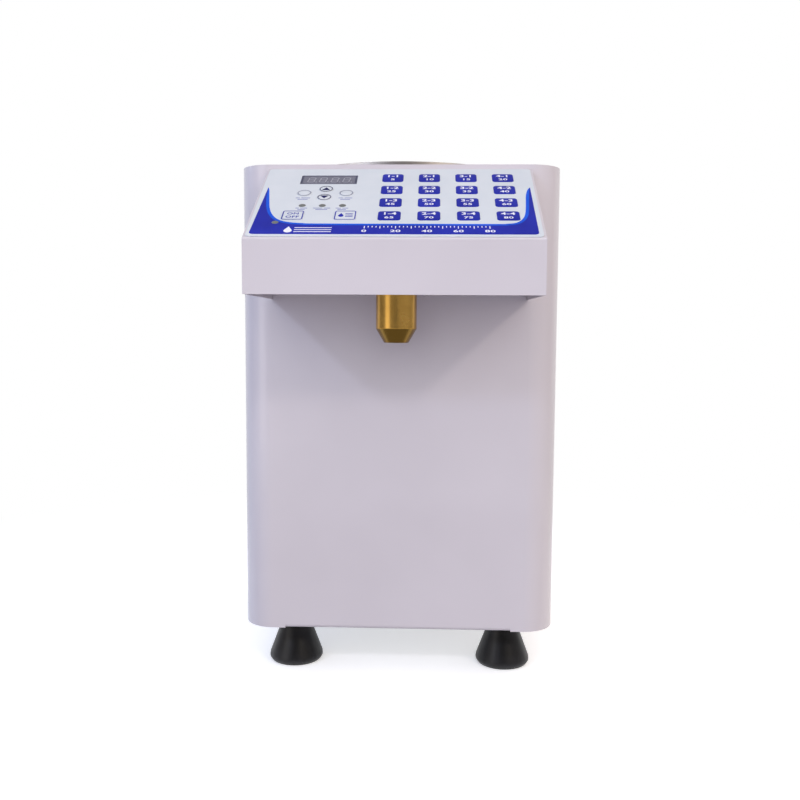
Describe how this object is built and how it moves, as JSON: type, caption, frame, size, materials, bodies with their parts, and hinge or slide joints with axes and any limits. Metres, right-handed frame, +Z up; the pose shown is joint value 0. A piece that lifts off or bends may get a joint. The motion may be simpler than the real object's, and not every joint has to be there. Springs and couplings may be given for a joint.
{
  "type": "fructose dispenser",
  "caption": "Countertop syrup doser: white sheet cabinet on rubber feet, sloped keypad console over a brass nozzle, lift-off tank lid, gear pump inside.",
  "frame": {"origin": "on the table under the middle of the whole object", "axes": "+X to the user's right, +Y to the rear, +Z up; the console faces -Y"},
  "size_m": [0.25, 0.364, 0.4223],
  "materials": {
    "painted_white": "satin white powder coat",
    "zinc_sheet": "zinc plated sheet",
    "overlay_white": "printed polyester film",
    "key_blue": "deep blue embossed film",
    "stainless": "spun stainless steel",
    "brass": "turned brass",
    "black_rubber": "satin black rubber",
    "silicone": "translucent silicone",
    "steel_fastener": "nickel plated steel",
    "black_plastic": "moulded black nylon",
    "display_smoke": "smoke tinted window",
    "lamp_grey": "frosted lamp lens",
    "board_green": "glass epoxy board",
    "cast_aluminium": "die cast",
    "ground_steel": "ground steel",
    "motor_case": "zinc chromated case"
  },
  "bodies": {
    "cabinet": {"body_shell": "painted_white", "rear_panel": "painted_white", "top_deck": "painted_white", "console_cover": "painted_white", "console_floor": "painted_white", "base_plate": "zinc_sheet", "pump_bracket": "zinc_sheet", "keypad_overlay": "overlay_white", "tank": "stainless", "nozzle": "brass", "nozzle_inlet": "brass", "tank_outlet": "brass", "feet": "black_rubber", "suction_hose": "silicone", "delivery_hose": "silicone", "tank_gasket": "silicone", "heating_pad": "silicone", "foot_bolts": "steel_fastener", "cover_screws": "steel_fastener", "nozzle_screws": "steel_fastener", "valve_spring": "steel_fastener", "thermostat": "steel_fastener", "power_inlet": "black_plastic", "switch_frame": "black_plastic", "tact_switches": "black_plastic", "display_module": "display_smoke", "indicator_leds": "lamp_grey", "keypad_board": "board_green", "control_board": "board_green", "pump_body": "cast_aluminium", "pump_cover": "cast_aluminium", "gear_motor": "motor_case", "transformer": "motor_case"},
    "key_1_1": {"key_1_1": "key_blue"},
    "key_1_2": {"key_1_2": "key_blue"},
    "key_1_3": {"key_1_3": "key_blue"},
    "key_1_4": {"key_1_4": "key_blue"},
    "key_2_1": {"key_2_1": "key_blue"},
    "key_2_2": {"key_2_2": "key_blue"},
    "key_2_3": {"key_2_3": "key_blue"},
    "key_2_4": {"key_2_4": "key_blue"},
    "key_3_1": {"key_3_1": "key_blue"},
    "key_3_2": {"key_3_2": "key_blue"},
    "key_3_3": {"key_3_3": "key_blue"},
    "key_3_4": {"key_3_4": "key_blue"},
    "key_4_1": {"key_4_1": "key_blue"},
    "key_4_2": {"key_4_2": "key_blue"},
    "key_4_3": {"key_4_3": "key_blue"},
    "key_4_4": {"key_4_4": "key_blue"},
    "key_up": {"key_up": "overlay_white"},
    "key_down": {"key_down": "overlay_white"},
    "key_left": {"key_left": "overlay_white"},
    "key_right": {"key_right": "overlay_white"},
    "key_mode_left": {"key_mode_left": "overlay_white"},
    "key_mode_right": {"key_mode_right": "overlay_white"},
    "lid": {"lid": "stainless"},
    "pump_drive": {"drive_gear": "ground_steel"},
    "pump_idler": {"idler_gear": "ground_steel"},
    "drip_valve": {"valve_poppet": "steel_fastener"},
    "rocker": {"switch_rocker": "black_plastic"}
  },
  "joints": [
    {"name": "key_1_1_press", "type": "slide", "parent": "cabinet", "child": "key_1_1", "axis": [0, 0.5314, -0.8471], "range_m": [0, 0.00045], "stiffness_N_per_m": 400, "springref_m": -0.0003},
    {"name": "key_1_2_press", "type": "slide", "parent": "cabinet", "child": "key_1_2", "axis": [0, 0.5314, -0.8471], "range_m": [0, 0.00045], "stiffness_N_per_m": 400, "springref_m": -0.0003},
    {"name": "key_1_3_press", "type": "slide", "parent": "cabinet", "child": "key_1_3", "axis": [0, 0.5314, -0.8471], "range_m": [0, 0.00045], "stiffness_N_per_m": 400, "springref_m": -0.0003},
    {"name": "key_1_4_press", "type": "slide", "parent": "cabinet", "child": "key_1_4", "axis": [0, 0.5314, -0.8471], "range_m": [0, 0.00045], "stiffness_N_per_m": 400, "springref_m": -0.0003},
    {"name": "key_2_1_press", "type": "slide", "parent": "cabinet", "child": "key_2_1", "axis": [0, 0.5314, -0.8471], "range_m": [0, 0.00045], "stiffness_N_per_m": 400, "springref_m": -0.0003},
    {"name": "key_2_2_press", "type": "slide", "parent": "cabinet", "child": "key_2_2", "axis": [0, 0.5314, -0.8471], "range_m": [0, 0.00045], "stiffness_N_per_m": 400, "springref_m": -0.0003},
    {"name": "key_2_3_press", "type": "slide", "parent": "cabinet", "child": "key_2_3", "axis": [0, 0.5314, -0.8471], "range_m": [0, 0.00045], "stiffness_N_per_m": 400, "springref_m": -0.0003},
    {"name": "key_2_4_press", "type": "slide", "parent": "cabinet", "child": "key_2_4", "axis": [0, 0.5314, -0.8471], "range_m": [0, 0.00045], "stiffness_N_per_m": 400, "springref_m": -0.0003},
    {"name": "key_3_1_press", "type": "slide", "parent": "cabinet", "child": "key_3_1", "axis": [0, 0.5314, -0.8471], "range_m": [0, 0.00045], "stiffness_N_per_m": 400, "springref_m": -0.0003},
    {"name": "key_3_2_press", "type": "slide", "parent": "cabinet", "child": "key_3_2", "axis": [0, 0.5314, -0.8471], "range_m": [0, 0.00045], "stiffness_N_per_m": 400, "springref_m": -0.0003},
    {"name": "key_3_3_press", "type": "slide", "parent": "cabinet", "child": "key_3_3", "axis": [0, 0.5314, -0.8471], "range_m": [0, 0.00045], "stiffness_N_per_m": 400, "springref_m": -0.0003},
    {"name": "key_3_4_press", "type": "slide", "parent": "cabinet", "child": "key_3_4", "axis": [0, 0.5314, -0.8471], "range_m": [0, 0.00045], "stiffness_N_per_m": 400, "springref_m": -0.0003},
    {"name": "key_4_1_press", "type": "slide", "parent": "cabinet", "child": "key_4_1", "axis": [0, 0.5314, -0.8471], "range_m": [0, 0.00045], "stiffness_N_per_m": 400, "springref_m": -0.0003},
    {"name": "key_4_2_press", "type": "slide", "parent": "cabinet", "child": "key_4_2", "axis": [0, 0.5314, -0.8471], "range_m": [0, 0.00045], "stiffness_N_per_m": 400, "springref_m": -0.0003},
    {"name": "key_4_3_press", "type": "slide", "parent": "cabinet", "child": "key_4_3", "axis": [0, 0.5314, -0.8471], "range_m": [0, 0.00045], "stiffness_N_per_m": 400, "springref_m": -0.0003},
    {"name": "key_4_4_press", "type": "slide", "parent": "cabinet", "child": "key_4_4", "axis": [0, 0.5314, -0.8471], "range_m": [0, 0.00045], "stiffness_N_per_m": 400, "springref_m": -0.0003},
    {"name": "key_up_press", "type": "slide", "parent": "cabinet", "child": "key_up", "axis": [0, 0.5314, -0.8471], "range_m": [0, 0.00045], "stiffness_N_per_m": 400, "springref_m": -0.0003},
    {"name": "key_down_press", "type": "slide", "parent": "cabinet", "child": "key_down", "axis": [0, 0.5314, -0.8471], "range_m": [0, 0.00045], "stiffness_N_per_m": 400, "springref_m": -0.0003},
    {"name": "key_left_press", "type": "slide", "parent": "cabinet", "child": "key_left", "axis": [0, 0.5314, -0.8471], "range_m": [0, 0.00045], "stiffness_N_per_m": 400, "springref_m": -0.0003},
    {"name": "key_right_press", "type": "slide", "parent": "cabinet", "child": "key_right", "axis": [0, 0.5314, -0.8471], "range_m": [0, 0.00045], "stiffness_N_per_m": 400, "springref_m": -0.0003},
    {"name": "key_mode_left_press", "type": "slide", "parent": "cabinet", "child": "key_mode_left", "axis": [0, 0.5314, -0.8471], "range_m": [0, 0.00045], "stiffness_N_per_m": 400, "springref_m": -0.0003},
    {"name": "key_mode_right_press", "type": "slide", "parent": "cabinet", "child": "key_mode_right", "axis": [0, 0.5314, -0.8471], "range_m": [0, 0.00045], "stiffness_N_per_m": 400, "springref_m": -0.0003},
    {"name": "lid_lift", "type": "slide", "parent": "cabinet", "child": "lid", "axis": [0, 0, 1], "range_m": [0, 0.06]},
    {"name": "pump_drive_spin", "type": "hinge", "parent": "cabinet", "child": "pump_drive", "pos_m": [0, -0.0075, 0.094], "axis": [1, 0, 0], "continuous": true},
    {"name": "pump_idler_spin", "type": "hinge", "parent": "cabinet", "child": "pump_idler", "pos_m": [0, -0.0075, 0.076], "axis": [1, 0, 0], "continuous": true},
    {"name": "drip_valve_open", "type": "slide", "parent": "cabinet", "child": "drip_valve", "axis": [0, 0, -1], "range_m": [0, 0.0025], "stiffness_N_per_m": 80, "springref_m": -0.002, "deforming": ["valve_spring"]},
    {"name": "power_rocker", "type": "hinge", "parent": "cabinet", "child": "rocker", "pos_m": [0.042, 0.1746, 0.097], "axis": [-1, 0, 0], "range_deg": [0, 18]}
  ],
  "couplings": [
    {"joint": "pump_idler_spin", "follows": "pump_drive_spin", "ratio": -1}
  ]
}
